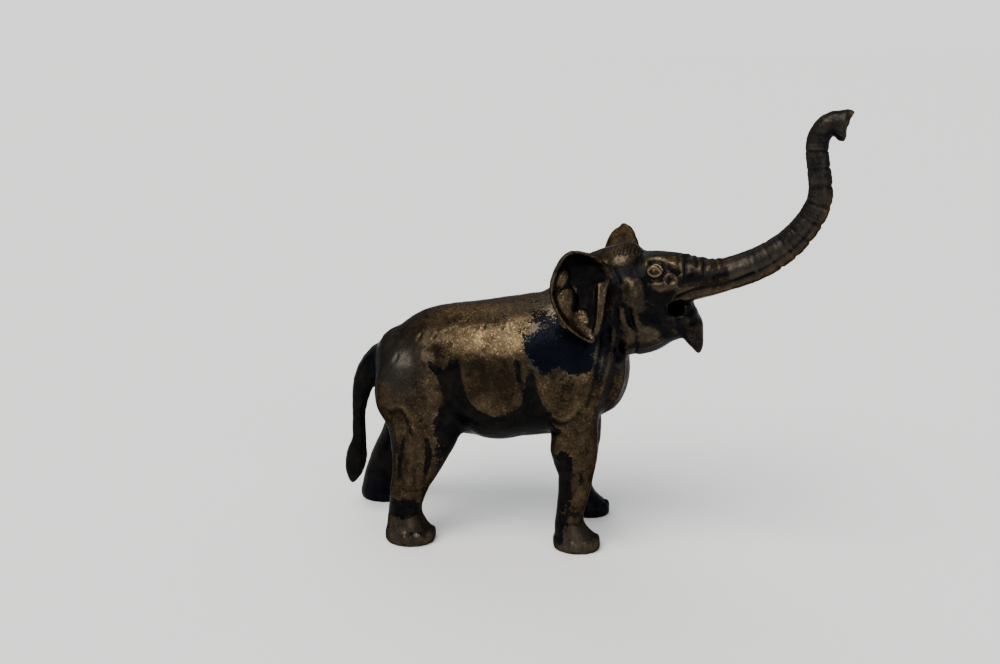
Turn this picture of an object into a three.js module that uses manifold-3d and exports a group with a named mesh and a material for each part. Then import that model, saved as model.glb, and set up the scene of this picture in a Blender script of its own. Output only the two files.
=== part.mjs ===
// A small bronze elephant, cast in one piece, walking with its trunk raised and its mouth open.
// Millimetres, +Z up, the elephant faces +X. The origin is on the ground under the middle of the
// figure's box, and the body's mid-plane is y = 0; its right side is towards -Y.
import * as THREE from "three";
import { mergeVertices } from "three/addons/utils/BufferGeometryUtils.js";
import Module from "manifold-3d";

const wasm = await Module();
wasm.setup();

// ---- Driving dimensions -------------------------------------------------------------------------
const HEAD_TURN = THREE.MathUtils.degToRad(9); // the head looks a little to the elephant's right
const NECK_PIVOT_X = 5; // the upright axis that the head turns about
const FRONT_FOOT_OUT = 15.6; // from the mid-plane to the middle of a front foot
const LEFT_FRONT_LEAN = 0.05; // the left front leg leans back by this much of its height
const EAR_WALL = 2.0; // thickness of an ear
const EAR_CUP = 6.4; // how deep the hollow of an ear is
const LEFT_EAR_SHIFT = [3.4, -2.0, 0.8]; // the left ear is held further forward than the right one
const MERGE_SLIVERS = 0.03; // joins that leave corners closer than this are tidied into one corner
const SOLE_DROP = 1; // each leg is made this much too long, then cut off flat at the ground
const EYE = { x: 27.2, y: 10.4, z: 95.1, long: 2.7, tall: 2.1, proud: 1.6 };
const MOUTH = { x: 36.4, y: -2.0, z: 81.4, long: 7.2, wide: 7.4, tall: 3.6, tilt: 0.5 };
const NOSTRIL = { x: 82.8, z: 140.6, deep: 3.6, wide: 2.1, tall: 3.0 };

// Each station of a limb: x, y, z of its centre, then its half size in the limb's own plane and its
// half size across it, towards Y.
const TORSO = [
  [-61, 0, 54.8, 15.6, 14.8],
  [-54, 0, 55.4, 20.0, 18.4],
  [-45, 0, 56.1, 22.3, 20.6],
  [-34, 0, 56.6, 23.4, 22.4],
  [-21, 0, 57.9, 24.1, 22.8],
  [-8, 0, 60.2, 24.2, 21.0],
  [4, 0, 63.0, 20.6, 18.0],
];
const NECK = [
  [-13, 0, 62.0, 18.0, 17.0],
  [-3, 0, 70.0, 17.4, 15.5],
  [5, 0, 78.0, 15.0, 13.6],
  [12, 0, 84.0, 13.0, 12.4],
];
const HEAD_AND_TRUNK = [
  [2, 0, 80.5, 13.6, 12.0],
  [8, 0, 83.0, 16.0, 13.2],
  [15, 0, 84.8, 16.7, 13.5],
  [21, 0, 86.6, 14.2, 12.8],
  [26.5, 0, 89.2, 11.4, 11.4],
  [32, 0, 91.0, 9.0, 9.5],
  [38, 0, 91.7, 7.2, 7.8],
  [44, 0, 92.6, 5.9, 6.7],
  [50, 0, 94.3, 5.2, 5.9],
  [58, 0, 97.8, 5.1, 5.3],
  [64, 0, 101.9, 4.8, 4.9],
  [68.6, 0, 106.2, 4.5, 4.6],
  [72.6, 0, 111.8, 4.1, 4.3],
  [75.2, 0, 118.0, 3.65, 3.9],
  [75.3, 0, 123.0, 3.35, 3.6],
  [74.3, 0, 129.0, 3.2, 3.4],
  [73.6, 0, 134.4, 3.2, 3.2],
  [74.5, 0, 138.9, 3.2, 3.2],
  [77.4, 0, 141.4, 3.7, 3.3],
  [81.8, 0, 141.2, 4.9, 3.5],
];
const LOWER_JAW = [
  [14, 0, 76.5, 11.9, 12.6],
  [20, 0, 76.0, 11.4, 12.0],
  [25, 0, 76.0, 9.8, 11.0],
  [30, 0, 76.9, 7.0, 9.6],
  [34, 0, 77.8, 6.0, 7.8],
];
const LOWER_LIP = [
  [34.6, 0, 81.6, 3.2, 6.4],
  [36.4, 0, 77.5, 4.6, 6.8],
  [38.1, 0, 73.8, 3.7, 5.2],
  [39.5, 0, 70.2, 2.3, 3.2],
  [40.4, 0, 67.6, 0.9, 1.4],
];
// The right front leg, with y counted inwards from the middle of its foot.
const FRONT_LEG = [
  [1.5, -3, 58, 9.0, 7.0],
  [0.4, -2.6, 46, 8.4, 7.4],
  [0.7, -1.6, 38, 8.0, 7.3],
  [0.8, -1.0, 31.5, 7.8, 7.0],
  [1.6, -0.6, 25.5, 5.7, 5.9],
  [1.0, -0.4, 19, 5.35, 5.5],
  [-0.2, -0.2, 12.5, 4.75, 5.1],
  [-0.3, -0.1, 9, 4.9, 5.3],
  [1.4, 0, 5, 6.6, 6.4],
  [2.3, 0, 2.3, 8.3, 7.0],
  [2.1, 0, -SOLE_DROP, 7.3, 6.0],
];
// The hind legs are in mid-stride, so each has its own line.
const RIGHT_HIND_LEG = [
  [-54, -9.0, 58, 14.5, 9.0],
  [-51.6, -11.5, 46, 13.6, 9.4],
  [-50.2, -13.5, 37, 12.8, 8.8],
  [-51.4, -15.3, 29.5, 10.0, 7.7],
  [-52.9, -16.8, 23.7, 8.1, 6.8],
  [-55.1, -17.8, 17.6, 6.5, 6.1],
  [-56.3, -18.5, 11.5, 5.7, 5.7],
  [-56.0, -18.9, 8, 6.2, 6.0],
  [-55.0, -19.4, 4.8, 7.6, 7.0],
  [-54.4, -19.6, 2.3, 8.9, 7.7],
  [-54.4, -19.6, -SOLE_DROP, 8.1, 6.9],
];
const LEFT_HIND_LEG = [
  [-54, 9.0, 58, 14.5, 9.0],
  [-55.5, 11.5, 46, 13.2, 9.3],
  [-59.6, 13.0, 36, 11.0, 8.5],
  [-65.2, 14.3, 27, 8.8, 7.6],
  [-70.4, 15.4, 19.5, 7.3, 6.7],
  [-73.8, 16.0, 12.5, 6.5, 6.1],
  [-74.8, 16.3, 8.5, 6.8, 6.2],
  [-74.5, 16.7, 4.6, 8.2, 7.0],
  [-74.4, 16.8, 2.2, 8.9, 7.6],
  [-74.4, 16.8, -SOLE_DROP, 8.0, 6.8],
];
const TAIL = [
  [-62, 0, 63.0, 5.0, 5.6],
  [-69.7, 0, 57.8, 4.8, 5.0],
  [-74.8, 0, 51.0, 3.9, 3.8],
  [-77.2, 0, 43.5, 2.6, 2.6],
  [-78.0, 0, 35.0, 1.95, 2.1],
  [-78.1, 0, 28.5, 2.1, 2.2],
  [-79.3, 0, 21.0, 3.5, 2.6],
  [-80.4, 0, 15.8, 2.9, 2.3],
  [-80.9, 0, 12.6, 1.2, 1.0],
];
// Muscle that fills the body out over each leg: centre and radii on the right side.
const SHOULDER = { at: [0.5, -9.8, 56], radii: [10.8, 9.6, 18] };
const HAUNCH = { at: [-54.5, -10.2, 50.5], radii: [14.5, 10.4, 17] };
const BELLY = { at: [-27, 0, 50], radii: [20, 23.2, 17.2] };
const EAR_ROOT = { at: [5, -11.4, 87], radii: [4.2, 2.9, 7] };
const FOREHEAD = { at: [15.5, 0, 93.6], radii: [7.4, 9.8, 8.6] };

// The two edges of the right ear, from its lower tip to its top: the one at the front, which
// joins the head in its middle, and the free one behind.
const EAR_FRONT_EDGE = [
  [10.3, -20.8, 73.0],
  [11.9, -19.5, 76.4],
  [12.5, -18.0, 80.4],
  [12.5, -16.2, 85.5],
  [12.9, -13.6, 90.2],
  [14.2, -13.2, 95.0],
  [11.4, -18.6, 99.6],
  [8.4, -23.0, 101.9],
  [5.9, -25.9, 102.7],
];
const EAR_BACK_EDGE = [
  [9.9, -21.2, 72.9],
  [5.9, -24.8, 76.0],
  [2.0, -27.4, 80.6],
  [-0.4, -28.6, 85.6],
  [-1.4, -29.0, 90.4],
  [-0.5, -29.0, 95.2],
  [1.0, -28.4, 98.8],
  [2.7, -27.8, 101.3],
  [4.7, -26.8, 102.6],
];

// ---- Helpers ------------------------------------------------------------------------------------

// A closed mesh through rings of points, each ring with the same number of points, with a flat fan
// over the first and the last.
function skin(rings) {
  const sides = rings[0].length;
  const middle = (ring) =>
    ring.reduce((sum, p) => sum.add(p), new THREE.Vector3()).divideScalar(sides);
  const points = [...rings.flat(), middle(rings[0]), middle(rings.at(-1))];
  const faces = [];
  for (let r = 0; r + 1 < rings.length; r++) {
    for (let s = 0; s < sides; s++) {
      const a = r * sides + s;
      const b = r * sides + ((s + 1) % sides);
      faces.push(a, b, a + sides, b, b + sides, a + sides);
    }
  }
  const last = (rings.length - 1) * sides;
  for (let s = 0; s < sides; s++) {
    const next = (s + 1) % sides;
    faces.push(points.length - 2, next, s, points.length - 1, last + s, last + next);
  }
  return new THREE.BufferGeometry().setFromPoints(points).setIndex(faces);
}

// A limb: elliptical rings along a smooth line through the stations, square to the line, or level
// for a leg. A dome rounds an end over that length; 0 leaves it flat.
function limb(stations, { sides, steps, level, startDome = 0, endDome = 0, domeSteps = 4 }) {
  const line = new THREE.CatmullRomCurve3(stations.map(([x, y, z]) => new THREE.Vector3(x, y, z)));
  const sizes = new THREE.CatmullRomCurve3(
    stations.map(([, , , deep, wide]) => new THREE.Vector3(deep, wide, 0)),
  );
  const ringAt = (t, shift = 0, scale = 1) => {
    const along = level ? new THREE.Vector3(0, 0, -1) : line.getTangent(t);
    const across = new THREE.Vector3(0, 1, 0).addScaledVector(along, -along.y).normalize();
    const deepWay = new THREE.Vector3().crossVectors(across, along);
    const centre = line.getPoint(t).addScaledVector(along, shift);
    const size = sizes.getPoint(t).multiplyScalar(scale);
    return Array.from({ length: sides }, (_, s) => {
      const turn = (2 * Math.PI * s) / sides;
      return centre
        .clone()
        .addScaledVector(deepWay, size.x * Math.cos(turn))
        .addScaledVector(across, size.y * Math.sin(turn));
    });
  };
  const dome = (t, length, way) =>
    Array.from({ length: domeSteps }, (_, i) => {
      const rise = Math.sin(((i + 1) / (domeSteps + 0.35)) * (Math.PI / 2));
      return ringAt(t, way * length * rise, Math.sqrt(1 - rise * rise));
    });
  const rings = Array.from({ length: steps + 1 }, (_, i) => ringAt(i / steps));
  if (startDome > 0) rings.unshift(...dome(0, startDome, -1).reverse());
  if (endDome > 0) rings.push(...dome(1, endDome, 1));
  return skin(rings);
}

function mass({ at, radii }, width = 14, height = 10) {
  return new THREE.SphereGeometry(1, width, height)
    .rotateX(Math.PI / 2)
    .scale(...radii)
    .translate(...at);
}

// Turns the elephant's right side into its left.
function mirrored(geometry) {
  const copy = geometry.clone().scale(1, -1, 1);
  const index = copy.index.array;
  for (let i = 0; i < index.length; i += 3) [index[i], index[i + 1]] = [index[i + 1], index[i]];
  return copy;
}

// A three.js geometry as a solid that can be joined and cut.
function solid(geometry) {
  const bare = new THREE.BufferGeometry()
    .setAttribute("position", geometry.getAttribute("position"))
    .setIndex(geometry.index);
  const merged = mergeVertices(bare, 1e-4);
  return new wasm.Manifold(
    new wasm.Mesh({
      numProp: 3,
      vertProperties: merged.attributes.position.array,
      triVerts: new Uint32Array(merged.index.array),
    }),
  );
}

const joined = (geometries) => geometries.map(solid).reduce((a, b) => a.add(b));

function backToGeometry(body) {
  const mesh = body.getMesh();
  const points = new Float32Array(mesh.numVert * 3);
  for (let i = 0; i < mesh.numVert; i++) {
    points.set(mesh.vertProperties.subarray(i * mesh.numProp, i * mesh.numProp + 3), i * 3);
  }
  return new THREE.BufferGeometry()
    .setAttribute("position", new THREE.BufferAttribute(points, 3))
    .setIndex(new THREE.BufferAttribute(mesh.triVerts, 1));
}

// ---- The parts of the figure --------------------------------------------------------------------

const torso = () => limb(TORSO, { sides: 28, steps: 10, startDome: 10, endDome: 13 });
const neck = () => limb(NECK, { sides: 22, steps: 5 });
const headAndTrunk = () => limb(HEAD_AND_TRUNK, { sides: 16, steps: 44, startDome: 6, domeSteps: 3 });
const lowerJaw = () => limb(LOWER_JAW, { sides: 16, steps: 9, endDome: 2, domeSteps: 2 });
const lowerLip = () => limb(LOWER_LIP, { sides: 14, steps: 9, endDome: 0.8, domeSteps: 2 });
const tail = () => limb(TAIL, { sides: 9, steps: 18, endDome: 0.9, domeSteps: 2 });
const leg = (stations) => limb(stations, { sides: 15, steps: 15, level: true });

function frontLeg(lean) {
  return leg(
    FRONT_LEG.map(([x, y, z, deep, wide]) => [x - lean * z, -FRONT_FOOT_OUT - y, z, deep, wide]),
  );
}

// An ear is a cupped leaf: strips run from the front edge to the back edge, and their middles are
// pushed back, away from the face, most where the ear is widest.
function ear() {
  const curve = (edge) => new THREE.CatmullRomCurve3(edge.map((p) => new THREE.Vector3(...p)));
  const front = curve(EAR_FRONT_EDGE);
  const back = curve(EAR_BACK_EDGE);
  const backwards = new THREE.Vector3(-0.757, 0.655, 0);
  const strips = 12;
  const across = 5;
  const rings = Array.from({ length: strips + 1 }, (_, i) => {
    const t = i / strips;
    const [a, b] = [front.getPoint(t), back.getPoint(t)];
    const cup = EAR_CUP * Math.sin(Math.PI * t) ** 0.8;
    const at = (u, shift) =>
      a
        .clone()
        .lerp(b, u)
        .addScaledVector(backwards, cup * Math.sin(Math.PI * u) + shift);
    const face = Array.from({ length: across + 1 }, (_, s) => at(s / across, -EAR_WALL / 2));
    const rear = Array.from({ length: across + 1 }, (_, s) => at(1 - s / across, EAR_WALL / 2));
    return [...face, ...rear];
  });
  return skin(rings.reverse());
}

function eye(side) {
  return mass({ at: [EYE.x, side * EYE.y, EYE.z], radii: [EYE.long, EYE.proud, EYE.tall] }, 10, 8);
}

function head() {
  const rightEar = ear();
  const full = joined([
    headAndTrunk(),
    lowerJaw(),
    lowerLip(),
    mass(FOREHEAD),
    rightEar,
    mirrored(rightEar).translate(...LEFT_EAR_SHIFT),
    mass(EAR_ROOT),
    mirrored(mass(EAR_ROOT)).translate(...LEFT_EAR_SHIFT),
    eye(-1),
    eye(1),
  ]);
  const mouth = new THREE.SphereGeometry(1, 16, 10)
    .rotateX(Math.PI / 2)
    .scale(MOUTH.long, MOUTH.wide, MOUTH.tall)
    .rotateY(MOUTH.tilt)
    .translate(MOUTH.x, MOUTH.y, MOUTH.z);
  const nostril = mass(
    { at: [NOSTRIL.x, 0, NOSTRIL.z], radii: [NOSTRIL.deep, NOSTRIL.wide, NOSTRIL.tall] },
    12,
    8,
  );
  const carved = full.subtract(solid(mouth)).subtract(solid(nostril));
  const turned = backToGeometry(carved)
    .translate(-NECK_PIVOT_X, 0, 0)
    .rotateZ(-HEAD_TURN)
    .translate(NECK_PIVOT_X, 0, 0);
  return turned;
}

function elephant() {
  const bothSides = (part) => [mass(part), mirrored(mass(part))];
  const whole = joined([
    head(),
    torso(),
    mass(BELLY, 20, 12),
    neck(),
    ...bothSides(SHOULDER),
    ...bothSides(HAUNCH),
    frontLeg(0),
    mirrored(frontLeg(LEFT_FRONT_LEAN)),
    leg(RIGHT_HIND_LEG),
    leg(LEFT_HIND_LEG),
    tail(),
  ]);
  const ground = new THREE.BoxGeometry(240, 120, 20).translate(0, 0, -10);
  return backToGeometry(whole.subtract(solid(ground)).asOriginal().simplify(MERGE_SLIVERS));
}

// ---- The scene ----------------------------------------------------------------------------------

const bronze = new THREE.MeshStandardMaterial({ color: 0x4a3a22, roughness: 0.42, metalness: 0.9 });
const figure = new THREE.Group();
const casting = new THREE.Mesh(elephant(), bronze);
casting.name = "elephant";
figure.add(casting);

export default figure;
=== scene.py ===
# %% [markdown]
# # A cast bronze elephant
# A small table bronze: an elephant in mid-step with its trunk thrown up. It is one hollow casting, modelled in
# wax, cast, chased with small punches and given a black patina that years of handling have rubbed back to
# golden brown. The lesson makes it the way the founder did: a wax is softened, worked with tools, and coloured.
# Sizes in the working cells are millimetres, and the finished mesh is put back to metres at the end.

# %% The frame
import math
import bmesh
import bpy
import numpy as np
from mathutils import Matrix, Vector, noise


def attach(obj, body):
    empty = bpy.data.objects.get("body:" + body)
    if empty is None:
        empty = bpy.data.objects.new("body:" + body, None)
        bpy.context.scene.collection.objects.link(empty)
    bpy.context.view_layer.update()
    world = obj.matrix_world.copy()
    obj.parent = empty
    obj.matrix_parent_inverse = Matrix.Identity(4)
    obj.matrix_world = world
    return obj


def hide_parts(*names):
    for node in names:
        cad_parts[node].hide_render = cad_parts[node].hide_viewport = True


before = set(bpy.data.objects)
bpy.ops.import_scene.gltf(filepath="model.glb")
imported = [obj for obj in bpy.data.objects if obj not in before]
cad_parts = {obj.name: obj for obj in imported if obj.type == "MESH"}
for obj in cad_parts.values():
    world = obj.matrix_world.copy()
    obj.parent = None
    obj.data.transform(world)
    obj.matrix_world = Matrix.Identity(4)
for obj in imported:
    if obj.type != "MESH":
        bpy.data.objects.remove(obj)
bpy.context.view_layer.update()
MM = 0.001
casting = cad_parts["elephant"]

# %% [markdown]
# ## Camera, floor and light
# The figure is looked at from its right side, a little from the front and from above. The camera is placed
# first, by its turn, height and distance round one point, because every choice of detail depends on what it sees.

# %% Camera
AZIMUTH, ELEVATION, DISTANCE = math.radians(11), math.radians(14), 0.400
AIM = Vector((-0.027, 0.0, 0.0695))
LENS, SENSOR = 42.35, 36.0
NEAREST, FARTHEST = 0.01, 20.0

back = Vector((math.sin(AZIMUTH) * math.cos(ELEVATION),
               -math.cos(AZIMUTH) * math.cos(ELEVATION), math.sin(ELEVATION)))
camera = bpy.data.objects.new("camera", bpy.data.cameras.new("camera"))
camera.data.lens, camera.data.sensor_width = LENS, SENSOR
camera.data.clip_start, camera.data.clip_end = NEAREST, FARTHEST
camera.location = AIM + back * DISTANCE
camera.rotation_mode = "QUATERNION"
camera.rotation_quaternion = (-back).to_track_quat("-Z", "Y")
bpy.context.scene.collection.objects.link(camera)
bpy.context.scene.camera = camera
print("camera at", [round(c, 3) for c in camera.location])

# %% [markdown]
# The floor is a wide pale disc. Dark metal shows its form by what it mirrors, so the light is broad: a dim even
# sky, a soft high sun from the front left for the golden flank, a weak one behind for the rim of the back and a
# low one for the face. Suns light the whole floor alike, so the sky that the camera sees is given the floor's own
# brightness and no horizon shows.

# %% Floor, suns and sky
FLOOR_RADIUS = 60.0
FLOOR_TONE, FLOOR_ROUGHNESS = (0.84, 0.835, 0.83, 1), 0.9
SKY_TONE, SKY_STRENGTH = (0.93, 0.96, 1.0, 1), 0.66
SKY_MEAN = 0.96  # the mean of the sky's tint
SEEN_TONE = (1.0, 0.995, 0.985, 1)  # what the camera sees of the sky
SUNS = [  # name, direction it comes from, strength, apparent width in degrees, tint
    ("sun_above", (-0.35, -0.62, 1.0), 3.6, 48, (1.0, 0.965, 0.91)),
    ("sun_behind", (-0.45, 0.9, 0.75), 0.9, 50, (0.93, 0.97, 1.0)),
    ("sun_face", (0.8, -0.9, 0.35), 0.6, 40, (1.0, 0.96, 0.90)),
]


def add_object(name, mesh):
    obj = bpy.data.objects.new(name, mesh)
    bpy.context.scene.collection.objects.link(obj)
    return obj


disc = bmesh.new()
bmesh.ops.create_circle(disc, cap_ends=True, segments=96, radius=FLOOR_RADIUS)
floor_mesh = bpy.data.meshes.new("floor")
disc.to_mesh(floor_mesh)
disc.free()
floor = add_object("floor", floor_mesh)
floor_paint = bpy.data.materials.new("floor_paint")
floor_paint.use_nodes = True
floor_shader = floor_paint.node_tree.nodes["Principled BSDF"]
floor_shader.inputs["Base Color"].default_value = FLOOR_TONE
floor_shader.inputs["Roughness"].default_value = FLOOR_ROUGHNESS
floor_mesh.materials.append(floor_paint)

for name, direction, strength, width, tint in SUNS:
    lamp = bpy.data.lights.new(name, "SUN")
    lamp.energy, lamp.angle, lamp.color = strength, math.radians(width), tint
    sun = bpy.data.objects.new(name, lamp)
    sun.rotation_euler = Vector(direction).to_track_quat("Z", "Y").to_euler()
    bpy.context.scene.collection.objects.link(sun)
falling = sum(strength * Vector(direction).normalized().z for _, direction, strength, _, _ in SUNS) / math.pi
floor_glow = FLOOR_TONE[0] * (SKY_STRENGTH * SKY_MEAN + falling)

world = bpy.data.worlds.new("studio")
world.use_nodes = True
sky, links = world.node_tree.nodes, world.node_tree.links
sky["Background"].inputs["Color"].default_value = SKY_TONE
sky["Background"].inputs["Strength"].default_value = SKY_STRENGTH
seen = sky.new("ShaderNodeBackground")
seen.inputs["Color"].default_value = SEEN_TONE
seen.inputs["Strength"].default_value = floor_glow
path, either = sky.new("ShaderNodeLightPath"), sky.new("ShaderNodeMixShader")
links.new(path.outputs["Is Camera Ray"], either.inputs["Fac"])
links.new(sky["Background"].outputs[0], either.inputs[1])
links.new(seen.outputs[0], either.inputs[2])
links.new(either.outputs[0], sky["World Output"].inputs["Surface"])
bpy.context.scene.world = world
print("floor glows", round(floor_glow, 2), "under", len(SUNS), "suns")

# %% [markdown]
# ## The wax
# The CAD solid has the true pose and outline in flat facets with hard joins. Sculptors' software would give such
# a body one even skin of clay, and Blender's voxel remesh does the same: it wraps everything it is given in small
# squares of one size. So the CAD shape is copied and merged, pieces of wax are pressed on where it is too plain,
# and the lot is remeshed to one closed skin. A subdivision surface would round the facets but keep the hard joins.

# %% Copy of the casting in millimetres
VOXEL = 0.40

wax = bmesh.new()
wax.from_mesh(casting.data)
bmesh.ops.remove_doubles(wax, verts=wax.verts, dist=1e-6)
bmesh.ops.scale(wax, vec=(1 / MM,) * 3, verts=wax.verts)
print("merged copy:", len(wax.verts), "vertices")

# %% [markdown]
# The head looks nine degrees to its right, so everything on it is measured in a straight head and then turned.
# Lumps of wax are stretched balls: toe nails, the two fingers of the trunk's tip, the leaf of hair on the tail,
# the blade of the lower lip, pads inside the ears and lobes on the cheeks.

# %% Lumps of wax
HEAD_PIVOT, HEAD_YAW = Vector((5, 0, 0)), math.radians(-9)
HEAD_TURN = Matrix.Translation(HEAD_PIVOT) @ Matrix.Rotation(HEAD_YAW, 4, "Z") @ Matrix.Translation(-HEAD_PIVOT)


def lump(place, radii, yaw=0.0, tilt=0.0, on_head=False):
    """Adds a stretched ball of wax, its long axis turned by yaw about Z and then tilted about Y."""
    made = bmesh.ops.create_icosphere(wax, subdivisions=3, radius=1)["verts"]
    shape = (Matrix.Translation(place) @ Matrix.Rotation(math.radians(yaw), 4, "Z")
             @ Matrix.Rotation(math.radians(tilt), 4, "Y") @ Matrix.Diagonal((*radii, 1)))
    bmesh.ops.transform(wax, matrix=HEAD_TURN @ shape if on_head else shape, verts=made)


def rounded(line, rounds=2):
    """Cuts the corners of a line so that it curves."""
    line = np.asarray(line, float)
    for _ in range(rounds if len(line) > 2 else 0):
        cut = np.concatenate([line[:-1] * 0.75 + line[1:] * 0.25, line[:-1] * 0.25 + line[1:] * 0.75], axis=1)
        line = np.concatenate([line[:1], cut.reshape(-1, line.shape[1]), line[-1:]])
    return line


# the edges of the near ear, in the straight head
EAR_FRONT = [(10.3, -20.8, 73), (12.5, -18, 80.4), (12.5, -16.2, 85.5), (12.9, -13.6, 90.2)]
EAR_TOP = [(14.0, -13.0, 94), (11.6, -15.6, 96.5), (9.4, -20.5, 100.8), (7.5, -24.4, 102.1), (4.7, -26.8, 102.6)]
EAR_BACK = [(9.9, -21.2, 72.9), (5.9, -24.8, 76), (2, -27.4, 80.6), (-1.4, -29, 90.4), (1, -28.4, 98.8),
            (4.7, -26.8, 102.6)]
EAR_SHIFT = np.array((3.4, -2.0, 0.8))  # the far ear sits further forward than a mirrored one


def both_ears(line):
    """A line on the near ear and its twin on the far one."""
    return line, line * (1, -1, 1) + EAR_SHIFT


print("head turned by", round(math.degrees(HEAD_YAW)), "degrees")

# %% Nails, fingers, lips, ears and cheeks
# centre of the foot, its half length and half width, and the directions of the nails from the front
FEET = [((1.7, -15.6), 7.2, 6.1, (-88, -52, -18, 18, 50)),
        ((2.2, 15.6), 6.8, 5.8, (-50, -18, 18, 52, 88)),
        ((-54.8, -19.6), 7.9, 7.0, (-86, -52, -18, 18)),
        ((-74.4, 16.8), 7.4, 6.5, (-18, 18, 52, 86))]
NAIL_HEIGHT, NAIL_RADII = 2.7, (1.35, 1.7, 2.1)
for (x, y), half_long, half_wide, directions in FEET:
    for direction in directions:
        angle = math.radians(direction)
        nail = (x + half_long * math.cos(angle), y + half_wide * math.sin(angle), NAIL_HEIGHT)
        lump(nail, NAIL_RADII, yaw=direction)

# the trunk's tip: upper finger, its root, lower finger
lump((81.0, 0, 143.6), (3.3, 1.8, 1.4), tilt=-34, on_head=True)
lump((80.4, 0, 142.2), (2.3, 1.9, 2.4), tilt=-34, on_head=True)
lump((80.2, 0, 138.6), (1.9, 1.9, 1.9), tilt=30, on_head=True)
# the tail lies on the rump before it hangs free, and ends in a leaf of hair
lump((-70.4, 0, 53.8), (2.1, 1.9, 6.2), tilt=15)
lump((-80.6, 0, 16.5), (1.9, 1.6, 5.2), tilt=6)
# blade of the lower lip, the far cheek that shows through the open mouth, and the lip's two edges
LIP_BLADE = [((36.5, 0, 82.2), (1.8, 5.5, 3.2)), ((37.7, 0, 79.2), (2.0, 5.3, 3.6)),
             ((38.9, 0, 75.8), (2.1, 4.8, 3.9)), ((40.1, 0, 71.8), (1.6, 2.8, 4.3))]
for place, radii in LIP_BLADE:
    lump(place, radii, tilt=-8, on_head=True)
lump((33.6, 4.6, 82.6), (3.8, 2.4, 3.4), on_head=True)
for side in (-1, 1):
    lump((34.6, side * 5.2, 78.6), (3.8, 1.9, 2.3), tilt=-10, on_head=True)
# two pads behind the hollow of each ear
PAD_YAW = 33
for side, ahead in ((-1, 0.0), (1, EAR_SHIFT[0])):
    lump((1.9 + ahead, side * 21.5, 84.0), (1.9, 4.4, 7.4), yaw=PAD_YAW * side, on_head=True)
    lump((0.4 + ahead, side * 22.8, 93.2), (1.4, 4.0, 3.0), yaw=PAD_YAW * side, on_head=True)
# a roll of wax along the far ear's thin upper edge
ROLL = (0.85, 0.85, 0.85)
far_top = both_ears(rounded(EAR_TOP, 3))[1]
for start, end in zip(far_top[:-1], far_top[1:]):
    for share in (0.0, 0.34, 0.67):
        lump(start + share * (end - start), ROLL, on_head=True)
for side in (-1, 1):  # cheek lobes
    lump((20.8, side * 11.2, 87.0), (2.9, 2.6, 5.4), tilt=-4, on_head=True)
print("with lumps:", len(wax.verts), "vertices")

# %% [markdown]
# Where lumps overlap, air can be trapped inside the metal, and the remesh wraps it too. Such a bubble is a small
# body of its own, so the skin is walked from vertex to vertex and only the largest body is kept.

# %% One skin
wax_mesh = bpy.data.meshes.new("elephant_bronze")
wax.to_mesh(wax_mesh)
wax.free()
bronze = add_object("elephant_bronze", wax_mesh)
bpy.context.view_layer.objects.active = bronze
skin = bronze.modifiers.new("skin", "REMESH")
skin.mode, skin.voxel_size, skin.adaptivity = "VOXEL", VOXEL, 0.0
bpy.ops.object.modifier_apply(modifier="skin")
mesh = bronze.data


def bodies_of(shape):
    """The connected bodies of a bmesh as lists of vertices, the largest last."""
    unseen, bodies = set(shape.verts), []
    for first in shape.verts:
        if first not in unseen:
            continue
        unseen.remove(first)
        stack, body = [first], []
        while stack:
            vert = stack.pop()
            body.append(vert)
            for edge in vert.link_edges:
                other = edge.other_vert(vert)
                if other in unseen:
                    unseen.remove(other)
                    stack.append(other)
        bodies.append(body)
    return sorted(bodies, key=len)


shell = bmesh.new()
shell.from_mesh(mesh)
*bubbles, _ = bodies_of(shell)
bmesh.ops.delete(shell, geom=[vert for body in bubbles for vert in body], context="VERTS")
shell.to_mesh(mesh)
shell.free()
print("skin:", len(mesh.vertices), "vertices,", len(mesh.polygons), "faces;", len(bubbles), "bubbles removed")

# %% [markdown]
# ## Softening
# A wax is smoothed with a warm spatula: broad strokes on the belly, narrow ones on the face, hardly any on the
# ears' rims. Here every vertex moves to the mean of its neighbours many times over, and how many times is painted
# by region. Plain averaging shrinks thin parts, so the pass is run twice and the second loss is added back.

# %% Arrays of the skin
count = len(mesh.vertices)
points = np.empty(count * 3, np.float32)
mesh.vertices.foreach_get("co", points)
points = points.reshape(-1, 3).astype(float)
edges = np.empty(len(mesh.edges) * 2, np.int32)
mesh.edges.foreach_get("vertices", edges)
edges = edges.reshape(-1, 2)
valence = np.bincount(edges.ravel(), minlength=count).astype(float)


def neighbour_mean(values):
    total = np.bincount(edges[:, 0], weights=values[edges[:, 1]], minlength=count)
    total += np.bincount(edges[:, 1], weights=values[edges[:, 0]], minlength=count)
    return total / valence


STEP = 0.6  # share of the way to the mean in one pass
GAIN = STEP * VOXEL ** 2 / 2  # how much one pass adds to the square of the reach


def spread(values, reach):
    """Averages each column of values over a distance of reach (mm), which may differ from vertex to vertex."""
    out = np.array(values, float)
    passes = np.broadcast_to(np.asarray(reach, float) ** 2 / GAIN, (count,))
    for k in range(int(math.ceil(passes.max()))):
        share = STEP * np.clip(passes - k, 0, 1)
        for c in range(out.shape[1]):
            out[:, c] += share * (neighbour_mean(out[:, c]) - out[:, c])
    return out


def ramp(values, low, high):
    t = np.clip((values - low) / (high - low), 0, 1)
    return t * t * (3 - 2 * t)


def straight_head(p):
    """Casting coordinates to those of the straight head."""
    turn = np.array(HEAD_TURN.inverted())
    return p @ turn[:3, :3].T + turn[:3, 3]


print(count, "vertices,", len(edges), "edges")

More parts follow.
